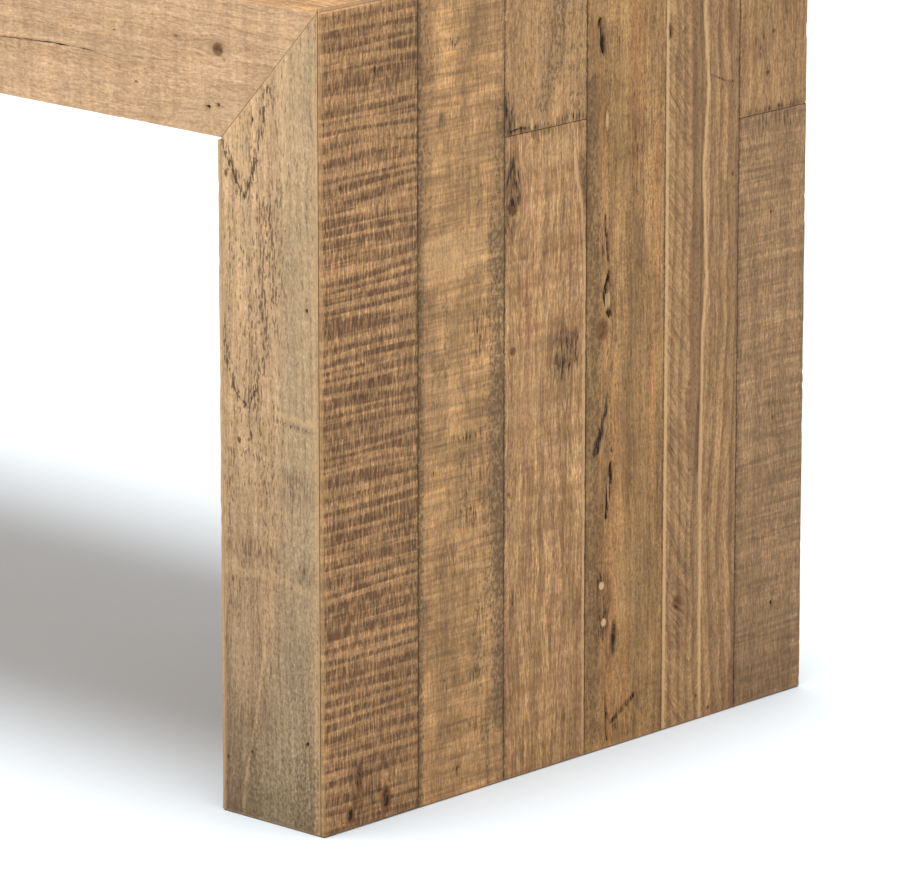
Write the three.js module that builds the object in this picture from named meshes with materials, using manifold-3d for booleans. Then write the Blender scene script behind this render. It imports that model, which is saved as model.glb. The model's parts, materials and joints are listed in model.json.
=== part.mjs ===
// Waterfall console table in reclaimed pine, as an assembly of planks over a hollow tenoned core.
// Millimetres. +X is the table's length, -Y its front, +Z up. The origin is on the floor, below the centre.
import * as THREE from "three";
import { ConvexGeometry } from "three/addons/geometries/ConvexGeometry.js";
import { mergeVertices } from "three/addons/utils/BufferGeometryUtils.js";
import Module from "manifold-3d";

const wasm = await Module();
wasm.setup();

// Overall size.
const LENGTH = 1800;
const DEPTH = 624;
const HEIGHT = 711;
const SLAB = 122; // thickness of the top and of each leg

// Boards.
const PLANK = 15; // thickness of every outer plank
const FASCIA = 15; // thickness of the mitred boards on the front and the back
const LIP = 4; // width of plank edge that shows beside a fascia board
const GLUE_LINE = 0.3; // gap between neighbouring pieces
const KNEE_NOTCH = 2; // gap between the knee planks and the underside of the top

// Core.
const CORE_TIMBER = 45; // width of every core rail and stile
const RIB_THICKNESS = 30;
const RIB_COUNT = 3;
const TENON_LENGTH = 28;
const TENON_THICKNESS = 15;
const TENON_SHOULDER = 14; // how much lower than its rail a tenon is, above and below
const HOUSING = 8; // how deep a rib sits in each long rail

// Rows of planks, front to back, as widths that add up to the depth they cover. A row with `joints` is made
// of several lengths that meet there: heights above the floor on a leg, distances from the middle on the top.
const RIGHT_END_ROWS = [
  { width: 117 },
  { width: 108 },
  { width: 105, joints: [571] },
  { width: 103 },
  { width: 98.5 },
  { width: 92.5, joints: [540] },
];
const LEFT_END_ROWS = [
  { width: 98 },
  { width: 110, joints: [236] },
  { width: 101 },
  { width: 115 },
  { width: 94, joints: [482] },
  { width: 106 },
];
const TOP_ROWS = [
  { width: 104 },
  { width: 112, joints: [-318] },
  { width: 98 },
  { width: 106, joints: [272] },
  { width: 95, joints: [-96] },
  { width: 109 },
];
const RIGHT_KNEE_ROWS = [{ width: 128 }, { width: 122 }, { width: 130 }, { width: 118 }, { width: 126 }];
const LEFT_KNEE_ROWS = [{ width: 126 }, { width: 118 }, { width: 130 }, { width: 122 }, { width: 128 }];
const SOFFIT_ROWS = [{ width: 121 }, { width: 117 }, { width: 124 }, { width: 113 }, { width: 119 }];

// Derived places.
const END_X = LENGTH / 2;
const KNEE_X = END_X - SLAB;
const FACE_Y = DEPTH / 2;
const SOFFIT_Z = HEIGHT - SLAB;
const CORE_TOP_Z = HEIGHT - PLANK - GLUE_LINE;
const CORE_SOFFIT_Z = SOFFIT_Z + PLANK + GLUE_LINE;
const CORE_FACE_Y = FACE_Y - FASCIA - GLUE_LINE;
const CORE_OUTER_X = END_X - PLANK - GLUE_LINE;
const CORE_KNEE_X = KNEE_X + PLANK + GLUE_LINE;
const SLANTED_GAP = GLUE_LINE * Math.SQRT2; // a 45 degree joint's gap, measured along an axis

const table = new THREE.Group();
table.name = "console_table";

// ---------------------------------------------------------------------------------------------- helpers

// A box between two opposite corners.
function block(low, high) {
  const size = high.map((value, axis) => value - low[axis]);
  const geometry = new THREE.BoxGeometry(...size);
  geometry.translate(...high.map((value, axis) => (value + low[axis]) / 2));
  return geometry;
}

// An outline extruded along an axis. The outline's two coordinates are the axes that follow it in X, Y, Z
// order: X and Y for a prism along Z, Y and Z for one along X.
function prism(outline, axis, from, to) {
  const shape = new THREE.Shape(outline.map(([u, v]) => new THREE.Vector2(u, v)));
  const geometry = new THREE.ExtrudeGeometry(shape, { depth: to - from, bevelEnabled: false });
  geometry.translate(0, 0, from);
  const turns = { x: [[0, 1, 0], [0, 0, 1], [1, 0, 0]], z: [[1, 0, 0], [0, 1, 0], [0, 0, 1]] };
  const directions = turns[axis].map((direction) => new THREE.Vector3(...direction));
  geometry.applyMatrix4(new THREE.Matrix4().makeBasis(...directions));
  return geometry;
}

function toSolid(geometry) {
  const bare = geometry.clone();
  bare.deleteAttribute("normal");
  bare.deleteAttribute("uv");
  const merged = mergeVertices(bare, 1e-4);
  return new wasm.Manifold(new wasm.Mesh({
    numProp: 3,
    vertProperties: new Float32Array(merged.attributes.position.array),
    triVerts: new Uint32Array(merged.index.array),
  }));
}

function toGeometry(solid) {
  const mesh = solid.getMesh();
  const geometry = new THREE.BufferGeometry();
  geometry.setAttribute("position", new THREE.BufferAttribute(new Float32Array(mesh.vertProperties), 3));
  geometry.setIndex(new THREE.BufferAttribute(new Uint32Array(mesh.triVerts), 1));
  geometry.computeVertexNormals();
  return geometry;
}

function cut(geometry, cutters) {
  const left = cutters.reduce((solid, cutter) => solid.subtract(toSolid(cutter)), toSolid(geometry));
  return toGeometry(left);
}

function join(geometry, additions) {
  const whole = additions.reduce((solid, addition) => solid.add(toSolid(addition)), toSolid(geometry));
  return toGeometry(whole);
}

function addPiece(name, geometry, material) {
  const mesh = new THREE.Mesh(geometry, material);
  mesh.name = name;
  table.add(mesh);
}

// The places of a row's planks: how far each reaches across, and each length along it, with a glue line
// between neighbours.
function layOut(rows, acrossStart, alongStart, alongEnd) {
  let across = acrossStart;
  return rows.map((row) => {
    const side = [across, across + row.width];
    across += row.width;
    const stops = [alongStart, ...(row.joints ?? []), alongEnd];
    const lengths = stops.slice(1).map((stop, index) => [
      stops[index] + (index > 0 ? GLUE_LINE / 2 : 0),
      stop - (index < stops.length - 2 ? GLUE_LINE / 2 : 0),
    ]);
    return { side, lengths };
  });
}

// Where a plank stops short of its neighbours across the row, unless it is the first or the last.
function betweenGlueLines([low, high], first, last) {
  return [first ? low : low + GLUE_LINE / 2, last ? high : high - GLUE_LINE / 2];
}

// ---------------------------------------------------------------------------------------------- materials

function wood(colour, roughness) {
  return new THREE.MeshStandardMaterial({ color: colour, roughness, metalness: 0 });
}

const PLANK_TONES = [0xa07048, 0xac7f52, 0xb08c66, 0xa5794c, 0x98704a, 0x8e7050];
const FASCIA_TONE = 0xc09a70;
const CORE_TONE = 0xc8a878;

function plankWood(index) {
  return wood(PLANK_TONES[index % PLANK_TONES.length], 0.72);
}

// ---------------------------------------------------------------------------------------------- legs

// Plan of a plank on the outer or the knee side of a leg. `faceX` is the plank's visible face and `inward`
// the direction from it into the leg. A plank at the front or the back of the row ends in a lip as wide as
// LIP, then slants 45 degrees behind the fascia board. `grow` widens the slant, to cut a neighbour clear.
function sidePlankPlan(faceX, inward, [lowY, highY], frontLip, backLip, grow = 0) {
  const backX = faceX + inward * (PLANK + grow);
  const lipX = faceX + inward * (LIP + grow * Math.SQRT2);
  const slant = PLANK + grow - (LIP + grow * Math.SQRT2);
  const front = frontLip
    ? [[backX, lowY + slant], [lipX, lowY], [faceX, lowY]]
    : [[backX, lowY], [faceX, lowY]];
  const back = backLip
    ? [[faceX, highY], [lipX, highY], [backX, highY - slant]]
    : [[faceX, highY], [backX, highY]];
  return [...front, ...back];
}

function addSidePlanks(prefix, rows, faceX, inward, topZ) {
  layOut(rows, -FACE_Y, 0, topZ).forEach((row, index) => {
    const first = index === 0;
    const last = index === rows.length - 1;
    const plan = sidePlankPlan(faceX, inward, betweenGlueLines(row.side, first, last), first, last);
    row.lengths.forEach(([lowZ, highZ], part) => {
      const suffix = row.lengths.length > 1 ? ["_lower", "_upper"][part] : "";
      addPiece(`${prefix}_${index + 1}${suffix}`, prism(plan, "z", lowZ, highZ), plankWood(index + part));
    });
  });
}

// The mitre runs from the top corner of the fascia frame to its inner corner, and is steeper than 45
// degrees because the leg's board is narrower than the top's.
const LEG_BOARD_OUTER = LIP + SLANTED_GAP; // distances in from the end face
const LEG_BOARD_INNER = SLAB - LIP - SLANTED_GAP;
const MITRE_SLOPE = SLAB / (LEG_BOARD_INNER - LEG_BOARD_OUTER);

function mitreDepth(inset) {
  return MITRE_SLOPE * (inset - LEG_BOARD_OUTER);
}

// One upright fascia board: `end` is +1 at the right leg and -1 at the left, `face` +1 at the back.
function addLegFascia(name, end, face) {
  const corners = [0, FASCIA].flatMap((behind) =>
    [LEG_BOARD_OUTER + behind, LEG_BOARD_INNER - behind].flatMap((inset) => {
      const x = end * (END_X - inset);
      const y = face * (FACE_Y - behind);
      return [
        new THREE.Vector3(x, y, 0),
        new THREE.Vector3(x, y, HEIGHT - mitreDepth(inset) - SLANTED_GAP),
      ];
    }));
  addPiece(name, new ConvexGeometry(corners), wood(FASCIA_TONE, 0.7));
}

// The stile's mortises take the tenons of the foot rail, the head rail and the top's long rail.
function addLegCore(side, end) {
  const [lowX, highX] = [end * CORE_KNEE_X, end * CORE_OUTER_X].sort((a, b) => a - b);
  const railZ = { foot: [0, CORE_TIMBER], head: [CORE_TOP_Z - CORE_TIMBER, CORE_TOP_Z] };
  const stileInnerY = CORE_FACE_Y - CORE_TIMBER;
  const middleX = (lowX + highX) / 2;
  const tenonX = [middleX - TENON_THICKNESS / 2, middleX + TENON_THICKNESS / 2];
  const tenonInset = TENON_SHOULDER / 2;
  const crossTenon = ([lowZ, highZ], face, grow) => {
    const ends = [face * (stileInnerY - 1), face * (stileInnerY + TENON_LENGTH + grow)].sort((a, b) => a - b);
    return block(
      [tenonX[0] - grow, ends[0], lowZ + tenonInset - grow],
      [tenonX[1] + grow, ends[1], highZ - tenonInset + grow],
    );
  };
  Object.entries(railZ).forEach(([name, [lowZ, highZ]]) => {
    const halfSpan = stileInnerY - GLUE_LINE;
    const body = block([lowX, -halfSpan, lowZ], [highX, halfSpan, highZ]);
    const rail = join(body, [-1, 1].map((face) => crossTenon([lowZ, highZ], face, 0)));
    addPiece(`${side}_leg_${name}_rail`, rail, wood(CORE_TONE, 0.8));
  });
  [["front", -1], ["back", 1]].forEach(([name, face]) => {
    const [lowY, highY] = [face * stileInnerY, face * CORE_FACE_Y].sort((a, b) => a - b);
    const mortises = Object.values(railZ).map((heights) => crossTenon(heights, face, GLUE_LINE));
    mortises.push(longTenon(end, face, GLUE_LINE));
    const stile = cut(block([lowX, lowY, 0], [highX, highY, CORE_TOP_Z]), mortises);
    addPiece(`${side}_leg_stile_${name}`, stile, wood(CORE_TONE, 0.8));
  });
}

// ---------------------------------------------------------------------------------------------- top

const LONG_RAIL_MIDDLE_Y = CORE_FACE_Y - CORE_TIMBER / 2;
const LONG_RAIL_INNER_Y = CORE_FACE_Y - CORE_TIMBER;

// Tenon at one end of a long core rail, above the tenons that cross the leg.
function longTenon(end, face, grow) {
  const ends = [end * (CORE_KNEE_X - 1), end * (CORE_KNEE_X + TENON_LENGTH + grow)].sort((a, b) => a - b);
  const middleY = face * LONG_RAIL_MIDDLE_Y;
  const halfThickness = TENON_THICKNESS / 2 + grow;
  return block(
    [ends[0], middleY - halfThickness, CORE_SOFFIT_Z + TENON_SHOULDER - grow],
    [ends[1], middleY + halfThickness, CORE_TOP_Z - CORE_TIMBER - TENON_SHOULDER / 2 + grow],
  );
}

function ribBlock(index, grow) {
  const span = 2 * (CORE_KNEE_X - GLUE_LINE);
  const middleX = -span / 2 + (span * (index + 1)) / (RIB_COUNT + 1);
  const halfLength = LONG_RAIL_INNER_Y + HOUSING + grow;
  return block(
    [middleX - RIB_THICKNESS / 2 - grow, -halfLength, CORE_SOFFIT_Z - grow],
    [middleX + RIB_THICKNESS / 2 + grow, halfLength, CORE_TOP_Z + grow],
  );
}

function addTopCore() {
  const ribs = Array.from({ length: RIB_COUNT }, (_, index) => index);
  const halfSpan = CORE_KNEE_X - GLUE_LINE;
  [["front", -1], ["back", 1]].forEach(([name, face]) => {
    const [lowY, highY] = [face * LONG_RAIL_INNER_Y, face * CORE_FACE_Y].sort((a, b) => a - b);
    const body = block([-halfSpan, lowY, CORE_SOFFIT_Z], [halfSpan, highY, CORE_TOP_Z]);
    const housed = cut(body, ribs.map((index) => ribBlock(index, GLUE_LINE)));
    const rail = join(housed, [-1, 1].map((end) => longTenon(end, face, 0)));
    addPiece(`top_core_rail_${name}`, rail, wood(CORE_TONE, 0.8));
  });
  ribs.forEach((index) => {
    addPiece(`top_core_rib_${index + 1}`, ribBlock(index, 0), wood(CORE_TONE, 0.8));
  });
}

// The corner planks of both end faces, grown by a glue line: what the pieces of the top are cut back by.
function endCornerCutters(face) {
  return [-1, 1].map((end) => {
    const sideY = face < 0 ? [-FACE_Y, -FACE_Y + SLAB] : [FACE_Y - SLAB, FACE_Y];
    const plan = sidePlankPlan(end * END_X, -end, sideY, face < 0, face > 0, GLUE_LINE);
    return prism(plan, "z", SOFFIT_Z - SLAB, HEIGHT + SLAB);
  });
}

function addTopPlanks() {
  layOut(TOP_ROWS, -FACE_Y, -END_X, END_X).forEach((row, index) => {
    const first = index === 0;
    const last = index === TOP_ROWS.length - 1;
    const [lowY, highY] = betweenGlueLines(row.side, first, last);
    const lowZ = HEIGHT - PLANK;
    const outline = [
      [first ? lowY + PLANK + SLANTED_GAP : lowY, lowZ],
      [last ? highY - PLANK - SLANTED_GAP : highY, lowZ],
      [last ? highY - SLANTED_GAP : highY, HEIGHT],
      [first ? lowY + SLANTED_GAP : lowY, HEIGHT],
    ];
    row.lengths.forEach(([lowX, highX], part) => {
      const inset = PLANK + GLUE_LINE;
      const startX = first || last ? lowX + LIP : Math.max(lowX, -END_X + inset);
      const endX = first || last ? highX - LIP : Math.min(highX, END_X - inset);
      const blank = prism(outline, "x", startX, endX);
      const plank = first || last ? cut(blank, endCornerCutters(first ? -1 : 1)) : blank;
      const suffix = row.lengths.length > 1 ? ["_left", "_right"][part] : "";
      addPiece(`top_plank_${index + 1}${suffix}`, plank, plankWood(index + 2 * part));
    });
  });
}

function addTopFascia(name, face) {
  const corners = [-1, 1].flatMap((end) => [0, FASCIA].flatMap((behind) => [behind, SLAB].map((depth) => {
    const inset = LEG_BOARD_OUTER + depth / MITRE_SLOPE;
    return new THREE.Vector3(end * (END_X - inset), face * (FACE_Y - behind), HEIGHT - depth);
  })));
  addPiece(name, cut(new ConvexGeometry(corners), endCornerCutters(face)), wood(FASCIA_TONE, 0.7));
}

function addSoffitPlanks() {
  const start = -FACE_Y + FASCIA;
  const halfLength = CORE_KNEE_X - GLUE_LINE;
  layOut(SOFFIT_ROWS, start, -halfLength, halfLength).forEach((row, index) => {
    const [lowY, highY] = betweenGlueLines(row.side, false, false);
    const plank = block([-halfLength, lowY, SOFFIT_Z], [halfLength, highY, SOFFIT_Z + PLANK]);
    addPiece(`soffit_plank_${index + 1}`, plank, plankWood(index + 1));
  });
}

// ---------------------------------------------------------------------------------------------- assembly

addSidePlanks("right_end_plank", RIGHT_END_ROWS, END_X, -1, HEIGHT);
addSidePlanks("left_end_plank", LEFT_END_ROWS, -END_X, 1, HEIGHT);
addSidePlanks("right_knee_plank", RIGHT_KNEE_ROWS, KNEE_X, 1, SOFFIT_Z - KNEE_NOTCH);
addSidePlanks("left_knee_plank", LEFT_KNEE_ROWS, -KNEE_X, -1, SOFFIT_Z - KNEE_NOTCH);
addTopPlanks();
addSoffitPlanks();
addTopFascia("top_fascia_front", -1);
addTopFascia("top_fascia_back", 1);
[["right", 1], ["left", -1]].forEach(([side, end]) => {
  addLegFascia(`${side}_leg_fascia_front`, end, -1);
  addLegFascia(`${side}_leg_fascia_back`, end, 1);
  addLegCore(side, end);
});
addTopCore();

export default table;
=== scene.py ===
"""Looks of a waterfall console table in reclaimed pine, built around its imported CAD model.

Each visible board is swept again in fine mesh inside its CAD node's place: eased and worn arrises, small
steps between planks, saw ridges, knots, nail holes and cracks. Sizes are millimetres until a mesh is made.
A board has its own axes: u runs along the grain, v across the visible face and w from it into the wood.
"""

import json
import math
from dataclasses import dataclass

import bpy
import numpy as np
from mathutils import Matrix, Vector


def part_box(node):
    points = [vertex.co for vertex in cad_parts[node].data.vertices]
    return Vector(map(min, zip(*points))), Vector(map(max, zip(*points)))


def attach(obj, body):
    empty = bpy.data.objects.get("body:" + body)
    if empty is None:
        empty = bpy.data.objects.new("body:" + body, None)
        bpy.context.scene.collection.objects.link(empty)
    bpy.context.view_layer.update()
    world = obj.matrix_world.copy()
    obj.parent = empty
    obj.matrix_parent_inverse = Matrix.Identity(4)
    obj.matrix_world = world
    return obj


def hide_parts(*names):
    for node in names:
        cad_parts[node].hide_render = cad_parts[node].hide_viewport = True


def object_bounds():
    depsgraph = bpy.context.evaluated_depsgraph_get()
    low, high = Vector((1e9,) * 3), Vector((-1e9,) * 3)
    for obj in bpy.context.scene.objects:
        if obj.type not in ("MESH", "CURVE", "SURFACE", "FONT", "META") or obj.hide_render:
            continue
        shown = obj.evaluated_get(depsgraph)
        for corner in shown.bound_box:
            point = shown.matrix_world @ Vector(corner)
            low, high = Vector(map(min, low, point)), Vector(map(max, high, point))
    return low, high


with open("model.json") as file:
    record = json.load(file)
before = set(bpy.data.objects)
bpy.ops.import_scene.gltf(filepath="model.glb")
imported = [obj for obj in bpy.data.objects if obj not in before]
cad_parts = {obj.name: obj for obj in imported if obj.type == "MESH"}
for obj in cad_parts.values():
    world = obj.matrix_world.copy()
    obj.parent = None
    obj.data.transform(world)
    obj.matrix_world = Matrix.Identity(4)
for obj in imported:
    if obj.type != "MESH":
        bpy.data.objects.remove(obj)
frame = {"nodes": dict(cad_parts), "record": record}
cad_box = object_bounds()

MM = 0.001
AXES = {
    "+x": (1, 0, 0), "+y": (0, 1, 0), "+z": (0, 0, 1), "-x": (-1, 0, 0), "-y": (0, -1, 0), "-z": (0, 0, -1),
}
SLOT_OF = {part["node"]: part["material_slot"] for part in frame["record"]["subparts"]}


def node_box(name):
    """A CAD node's lowest and highest corners, in millimetres."""
    low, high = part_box(name)
    return np.array(low) / MM, np.array(high) / MM


# ------------------------------------------------------------------ sizes, all worked out from the frame

END_X, FACE_Y, HEIGHT = np.array(cad_box[1]) / MM
RAIL_LOW, RAIL_HIGH = node_box("top_fascia_front")
LEG_LOW, LEG_HIGH = node_box("right_leg_fascia_front")
END_LOW, END_HIGH = node_box("right_end_plank_2")
SLAB = HEIGHT - RAIL_LOW[2]
PLANK = END_HIGH[0] - END_LOW[0]
BOARD_OUTER = END_X - LEG_HIGH[0]  # how far in from the end face a leg's fascia board starts
BOARD_INNER = END_X - LEG_LOW[0]  # and where it stops
MITRE_SLOPE = SLAB / (BOARD_INNER - BOARD_OUTER)
SLANTED_GAP = HEIGHT - LEG_HIGH[2]  # a glue line measured along an axis, at a slanted joint
GLUE_LINE = SLANTED_GAP / math.sqrt(2)
LIP = BOARD_OUTER - SLANTED_GAP  # width of plank edge beside a fascia board

# Rounding of edges.
SEAM_ARRIS = 0.8  # where a plank meets another plank
BUTT_ARRIS = 0.3  # where another length of its row follows
OPEN_ARRIS = 1.7  # where nothing meets it
FOOT_ARRIS = 1.8  # on the floor
TIGHT_ARRIS = 0.45  # along the fascia boards' joints
EDGE_ARRIS = {
    "seam": SEAM_ARRIS, "open": OPEN_ARRIS, "lip": OPEN_ARRIS, "under": TIGHT_ARRIS, "mitre": TIGHT_ARRIS,
}
EDGE_WEAR = {"seam": 0.45, "open": 1.0, "lip": 1.0, "under": 0.2, "mitre": 0.2}


# ------------------------------------------------------------------ random fields

LATTICE = 64


def smooth_step(low, high, value):
    share = np.clip((value - low) / (high - low), 0, 1)
    return share * share * (3 - 2 * share)


def smooth_noise(u, v, cell_u, cell_v, seed):
    """Smooth random values from -1 to 1 at places (u, v), with features about a cell in size."""
    grid = np.random.default_rng(seed).uniform(-1, 1, (LATTICE, LATTICE))
    x = np.asarray(u, float) / cell_u
    y = np.asarray(v, float) / cell_v
    column = np.floor(x).astype(int)
    row = np.floor(y).astype(int)
    share_x = smooth_step(0, 1, x - column)
    share_y = smooth_step(0, 1, y - row)

    def in_row(number):
        low = grid[column % LATTICE, number % LATTICE]
        high = grid[(column + 1) % LATTICE, number % LATTICE]
        return low * (1 - share_x) + high * share_x

    return in_row(row) * (1 - share_y) + in_row(row + 1) * share_y


# ------------------------------------------------------------------ marks on a board's face

DARK, KNOT, PALE, GREY, FLECK = range(5)  # the first four are channels of the "marks" attribute
SOFT = 0.6  # marks softer than this need no finer mesh
FINEST_STEP = 0.7
AREA_OF_MARK = 42000  # a board has about one random mark of a kind for each such area


@dataclass
class Spot:
    """An oval mark at (u, v). `depth` is how far it dips into the wood."""

    channel: int
    u: float
    v: float
    half_u: float
    half_v: float
    amount: float = 1.0
    soft: float = 0.3
    depth: float = 0.0
    bends_grain: bool = False

    def cover(self, u, v):
        distance = np.hypot((u - self.u) / self.half_u, (v - self.v) / self.half_v)
        return 1 - smooth_step(1 - self.soft, 1 + self.soft, distance)

    def fine_lines(self):
        """Where the mesh is finer, as (centre, reach, spacing) along u and along v."""
        if self.soft > SOFT and self.depth == 0:
            return [], []
        return (
            [(self.u, self.half_u * (1 + self.soft), max(FINEST_STEP, self.half_u / 4))],
            [(self.v, self.half_v * (1 + self.soft), max(FINEST_STEP, self.half_v / 4))],
        )


@dataclass
class Stroke:
    """A mark along a line of points. One that tapers, such as a crack, is narrow at its ends."""

    channel: int
    points: list
    half_width: float
    amount: float = 1.0
    soft: float = 0.4
    depth: float = 0.0
    tapers: bool = False
    bends_grain: bool = False

    def __post_init__(self):
        self.points = np.array(self.points, float)

    def cover(self, u, v):
        nearest = np.full(np.shape(u), np.inf)
        runs = self.points[1:] - self.points[:-1]
        lengths = np.hypot(runs[:, 0], runs[:, 1])
        passed = 0
        for start, run, length in zip(self.points[:-1], runs, lengths):
            share = np.clip(((u - start[0]) * run[0] + (v - start[1]) * run[1]) / length ** 2, 0, 1)
            distance = np.hypot(u - start[0] - share * run[0], v - start[1] - share * run[1])
            if self.tapers:
                along = (passed + share * length) / lengths.sum()
                distance = distance / (0.25 + 0.75 * np.sqrt(np.clip(4 * along * (1 - along), 0, 1)))
            nearest = np.minimum(nearest, distance / self.half_width)
            passed += length
        if self.tapers:
            nearest = nearest + 0.3 * smooth_noise(u, v, 4 + self.half_width, 1 + self.half_width, 3)
        return 1 - smooth_step(1 - self.soft, 1 + self.soft, nearest)

    def fine_lines(self):
        if self.soft > SOFT:
            return [], []
        low = self.points.min(axis=0) - self.half_width * 1.5
        high = self.points.max(axis=0) + self.half_width * 1.5
        centre = (low + high) / 2
        reach = (high - low) / 2
        spacing = np.clip(reach / 6, FINEST_STEP, 2.2)
        return [(centre[0], reach[0], spacing[0])], [(centre[1], reach[1], min(spacing[1], self.half_width))]


def nail(u, v, radius=1.7):
    """A nail hole with the rusty shadow round it."""
    return [
        Spot(DARK, u, v, radius * 1.25, radius, 1.0, 0.35, depth=2.5),
        Spot(DARK, u - radius, v, radius * 5, radius * 2.2, 0.35, 0.9),
    ]


def knot(u, v, half_u, half_v, dark=0.2, sunk=0.25):
    """A knot, browner than the wood. `dark` from 0 to 1 blackens its heart."""
    return [
        Spot(KNOT, u, v, half_u, half_v, 1.0, 0.4, depth=sunk, bends_grain=True),
        Spot(DARK, u, v, half_u * 0.7, half_v * 0.65, dark, 0.45),
        Spot(DARK, u, v, half_u * 1.9, half_v * 1.6, 0.14, 0.9),
    ]


def crack(points, half_width=0.8, depth=2.0, amount=1.0):
    return [
        Stroke(DARK, points, half_width, amount, 0.45, depth, tapers=True),
        Stroke(DARK, points, half_width * 3, amount * 0.3, 0.9, tapers=True),
    ]


def flecks(points, half_width=5, amount=1.0):
    """Dark pores gathered along a line, as in a growth ring that comes to the surface."""
    return [Stroke(FLECK, points, half_width, amount, 0.9)]


def smear(points, half_width, amount):
    return [Stroke(DARK, points, half_width, amount, 0.75)]


def stain(u, v, half_u, half_v, amount=0.4):
    return [Spot(DARK, u, v, half_u, half_v, amount, 0.85)]


def dent(u, v, half_u, half_v):
    return [Spot(DARK, u, v, half_u, half_v, 0.45, 0.5, depth=0.8)]


def grey(u, v, half_u, half_v, amount=0.8):
    return [Spot(GREY, u, v, half_u, half_v, amount, 0.8)]


def grey_band(points, half_width, amount=0.8, soft=0.75):
    return [Stroke(GREY, points, half_width, amount, soft)]


def pale(u, v, half_u, half_v, amount=0.8, soft=0.4):
    return [Spot(PALE, u, v, half_u, half_v, amount, soft)]


def pale_line(points, half_width, amount=0.5):
    return [Stroke(PALE, points, half_width, amount, 0.8)]


def rust(u, v, half_u, half_v, amount=0.8):
    return [Spot(KNOT, u, v, half_u, half_v, amount, 0.5)]


def random_marks(length, width, seed):
    """A few nail holes, knots, cracks and worn patches for a board that nothing else is known about."""
    random = np.random.default_rng(seed)
    marks = []
    count = max(1, round(length * width / AREA_OF_MARK))

    def place(edge_u, edge_v):
        return random.uniform([edge_u, edge_v], [length - edge_u, width - edge_v])

    for _ in range(random.integers(1, count + 2)):
        u, v = place(20, 18)
        half = random.uniform(3.5, 8.5)
        marks += knot(u, v, half * random.uniform(1.1, 1.6), half, random.uniform(0.1, 0.9))
    for _ in range(random.integers(1, count + 3)):
        marks += nail(*place(12, 10), random.uniform(1.2, 1.9))
    for _ in range(random.integers(0, 3)):
        u, v = place(60, 15)
        run = random.uniform(12, 28)
        lean = random.uniform(-3, 3)
        marks += crack([(u - run, v - lean), (u, v), (u + run, v + lean)], random.uniform(0.6, 1.1))
    for _ in range(random.integers(1, count + 2)):
        marks += grey(*place(0, 0), *random.uniform([40, 8, 0.3], [160, 26, 0.8]))
    for _ in range(random.integers(0, count + 1)):
        marks += stain(*place(0, 0), *random.uniform([15, 6, 0.15], [50, 16, 0.4]))
    return marks


# ------------------------------------------------------------------ sweeping a board

ARC_POINTS = 4
SIDE_STEP = 30  # mesh spacing on the sides that don't show
LEAST_STEP = 0.2  # a side's points keep this far from its rounded corners
ROUNDING = [(0, 1), (0.3, 0.29), (1, 0)]  # of a board's end: along u and in from the side, in radii
WEAR_REACH = 2.2  # how far from an arris its wear reaches
CUPPING = 0.12
KNOT_REACH = (3.2, 2.6)  # how far a knot bends the grain, along u and v, in its own half sizes
KNOT_PULL = 0.75
SLANT_EDGE = 8  # half the width over which slanted grain turns straight
SHARP_ANGLE = 50  # degrees
FAR = 60  # further from any edge than its wear or grime reaches
END_GRAIN_DEPTH = 0.4
ATTRIBUTES = {1: ("FLOAT", "value"), 3: ("FLOAT_VECTOR", "vector"), 4: ("FLOAT_COLOR", "color")}
FACE_STEP = 5.0  # mesh spacing


def unit(vector):
    return vector / np.linalg.norm(vector)


def inward_from(direction):
    """The way into a section from a side that runs in this direction."""
    return np.array([-direction[1], direction[0]])


def setback(before, here, after, radius):
    """How far from a corner its rounding starts."""
    turn = math.acos(np.clip(unit(here - before) @ unit(after - here), -1, 1))
    return radius * math.tan(turn / 2)


class Section:
    """A board's cross-section: points round it, the way in from each, and how squarely each faces out."""

    def __init__(self, corners, face_lines):
        self.points = []
        self.inward = []
        corners = [(np.array([v, w], float), radius) for v, w, radius in corners]
        count = len(corners)
        for index in range(count):
            here, radius = corners[index]
            before = corners[index - 1][0]
            after, next_radius = corners[(index + 1) % count]
            beyond = corners[(index + 2) % count][0]
            start = setback(before, here, after, radius)
            self._turn(before, here, after, radius, start)
            self._side(here, after, start, setback(here, after, beyond, next_radius), face_lines)
        self.points = np.array(self.points)
        self.inward = np.array(self.inward)
        self.facing = np.clip(self.inward[:, 1], 0, 1)

    def _turn(self, before, here, after, radius, start):
        """The rounded corner, from the end of one side to the start of the next."""
        arriving = unit(here - before)
        inward_before = inward_from(arriving)
        inward_after = inward_from(unit(after - here))
        centre = here - arriving * start + inward_before * radius
        for share in np.linspace(0, 1, ARC_POINTS) if radius > 0 else [0.5]:
            inward = unit(inward_before * (1 - share) + inward_after * share)
            self.points.append(centre - inward * radius)
            self.inward.append(inward)

    def _side(self, start, stop, start_setback, stop_setback, face_lines):
        """Points along a straight side: the face gets all its lines, and any other side just enough."""
        length = np.linalg.norm(stop - start)
        direction = unit(stop - start)
        if abs(start[1]) + abs(stop[1]) < 1e-6:
            places = [line - start[0] for line in face_lines]
        else:
            places = np.linspace(0, length, max(2, round(length / SIDE_STEP) + 1))
        for place in places:
            if start_setback + LEAST_STEP < place < length - stop_setback - LEAST_STEP:
                self.points.append(start + direction * place)
                self.inward.append(inward_from(direction))


def grid_lines(low, high, step, fine, least_gap=0.5):
    """Places from low to high, about a step apart, with closer ones where `fine` asks for them."""
    lines = list(np.linspace(low, high, max(2, round((high - low) / step) + 1)))
    for centre, reach, spacing in fine:
        count = max(1, round(reach / spacing))
        lines += list(centre + np.linspace(-reach, reach, 2 * count + 1))
    kept = [low]
    for line in sorted(lines):
        if line - kept[-1] > least_gap and high - line > least_gap:
            kept.append(line)
    return np.array(kept + [high])


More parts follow.
